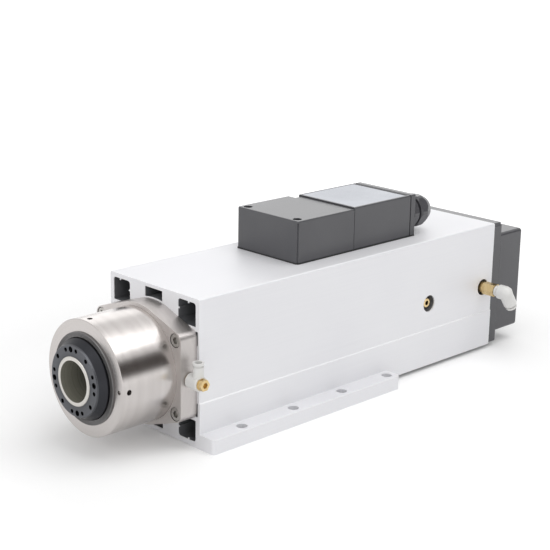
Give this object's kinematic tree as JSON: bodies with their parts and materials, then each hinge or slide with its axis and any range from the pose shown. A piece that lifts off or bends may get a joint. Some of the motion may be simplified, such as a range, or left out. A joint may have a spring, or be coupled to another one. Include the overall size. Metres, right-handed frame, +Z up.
{
  "type": "motor spindle",
  "caption": "Air-cooled motor spindle with a tapered tool socket in its round nose, a finned-channel square housing on a drilled foot, a terminal box and a fan behind.",
  "frame": {"origin": "centre of the base bolt pattern, on the underside of the feet, straight below the spindle axis", "axes": "+Z up, -Y towards the nose along the spindle axis, +X to the right as seen from the nose"},
  "size_m": [0.1533, 0.478, 0.1548],
  "materials": {
    "anodised_aluminium": "matt anodised",
    "nickel_steel": "satin turned",
    "dark_steel": "blackened, turned",
    "ground_steel": "ground bright",
    "screw_steel": "plain steel",
    "bearing_steel": "ground",
    "core_iron": "laminated",
    "copper": "enamelled copper",
    "cast_aluminium": "machined",
    "grey_plastic": "fine-textured moulded",
    "black_plastic": "moulded",
    "white_plastic": "moulded",
    "brass": "turned",
    "rubber": "moulded"
  },
  "bodies": {
    "housing": {"housing_extrusion": "anodised_aluminium", "nose_housing": "nickel_steel", "nose_flange_screws": "screw_steel", "nose_grub_screws": "screw_steel", "front_bearing_nut": "dark_steel", "front_bearing_outer_rings": "bearing_steel", "front_outer_spacer": "bearing_steel", "rear_bearing_outer_rings": "bearing_steel", "rear_bearing_carrier": "cast_aluminium", "stator_core": "core_iron", "stator_windings": "copper", "cylinder_front_wall": "cast_aluminium", "cylinder_rear_wall": "cast_aluminium", "cylinder_sleeve": "cast_aluminium", "rod_seal": "rubber", "rear_plate": "grey_plastic", "rear_cover": "grey_plastic", "fan_frame": "black_plastic", "fan_shaft": "screw_steel", "fan_screws": "screw_steel", "terminal_box": "grey_plastic", "terminal_box_screws": "screw_steel", "terminal_box_gasket": "rubber", "connector_hood": "grey_plastic", "hood_end_plate": "grey_plastic", "terminal_block": "black_plastic", "gland_body": "grey_plastic", "gland_nut": "grey_plastic", "gland_seal": "rubber", "mid_port_fitting": "brass", "rear_port_nipple": "brass", "front_banjo_bolt": "brass"},
    "rotor": {"spindle_shaft": "ground_steel", "nose_ring": "dark_steel", "front_bearing_inner_rings": "bearing_steel", "front_inner_spacer": "bearing_steel", "rotor_core": "core_iron", "rotor_end_rings": "cast_aluminium", "rear_bearing_inner_rings": "bearing_steel", "rear_lock_nut": "screw_steel", "disc_springs": "screw_steel"},
    "drawbar": {"drawbar": "ground_steel", "drawbar_nut": "screw_steel"},
    "gripper_ball_1": {"gripper_ball_1": "bearing_steel"},
    "gripper_ball_2": {"gripper_ball_2": "bearing_steel"},
    "gripper_ball_3": {"gripper_ball_3": "bearing_steel"},
    "gripper_ball_4": {"gripper_ball_4": "bearing_steel"},
    "piston": {"piston": "cast_aluminium", "piston_seal": "rubber"},
    "fan": {"fan_impeller": "black_plastic"},
    "front_elbow": {"front_elbow": "white_plastic"},
    "front_collar": {"front_elbow_collar": "white_plastic"},
    "rear_elbow": {"rear_elbow": "white_plastic"},
    "rear_collar": {"rear_elbow_collar": "white_plastic"}
  },
  "joints": [
    {"name": "spindle_spin", "type": "hinge", "parent": "housing", "child": "rotor", "pos_m": [0, 0, 0.059], "axis": [0, 1, 0], "continuous": true},
    {"name": "piston_stroke", "type": "slide", "parent": "housing", "child": "piston", "axis": [0, -1, 0], "range_m": [0, 0.008]},
    {"name": "drawbar_release", "type": "slide", "parent": "rotor", "child": "drawbar", "axis": [0, -1, 0], "range_m": [0, 0.007], "stiffness_N_per_m": 5000, "deforming": ["disc_springs"]},
    {"name": "ball_1_slide", "type": "slide", "parent": "drawbar", "child": "gripper_ball_1", "axis": [1, 0, 0], "range_m": [0, 0.0021]},
    {"name": "ball_2_slide", "type": "slide", "parent": "drawbar", "child": "gripper_ball_2", "axis": [0, 0, 1], "range_m": [0, 0.0021]},
    {"name": "ball_3_slide", "type": "slide", "parent": "drawbar", "child": "gripper_ball_3", "axis": [-1, 0, 0], "range_m": [0, 0.0021]},
    {"name": "ball_4_slide", "type": "slide", "parent": "drawbar", "child": "gripper_ball_4", "axis": [0, 0, -1], "range_m": [0, 0.0021]},
    {"name": "fan_spin", "type": "hinge", "parent": "housing", "child": "fan", "pos_m": [0, 0.26, 0.059], "axis": [0, 1, 0], "continuous": true},
    {"name": "front_elbow_swivel", "type": "hinge", "parent": "housing", "child": "front_elbow", "pos_m": [0.0565, -0.127, 0.057], "axis": [1, 0, 0], "continuous": true},
    {"name": "front_collar_press", "type": "slide", "parent": "front_elbow", "child": "front_collar", "axis": [0, 0, -1], "range_m": [0, 0.001], "stiffness_N_per_m": 300},
    {"name": "rear_elbow_swivel", "type": "hinge", "parent": "housing", "child": "rear_elbow", "pos_m": [0.075, 0.2234, 0.0606], "axis": [1, 0, 0], "continuous": true},
    {"name": "rear_collar_press", "type": "slide", "parent": "rear_elbow", "child": "rear_collar", "axis": [0, -0.5736, 0.8192], "range_m": [0, 0.001], "stiffness_N_per_m": 300}
  ],
  "couplings": [
    {"joint": "drawbar_release", "follows": "piston_stroke", "ratio": 0.875},
    {"joint": "ball_1_slide", "follows": "piston_stroke", "ratio": 0.2625},
    {"joint": "ball_2_slide", "follows": "piston_stroke", "ratio": 0.2625},
    {"joint": "ball_3_slide", "follows": "piston_stroke", "ratio": 0.2625},
    {"joint": "ball_4_slide", "follows": "piston_stroke", "ratio": 0.2625}
  ]
}
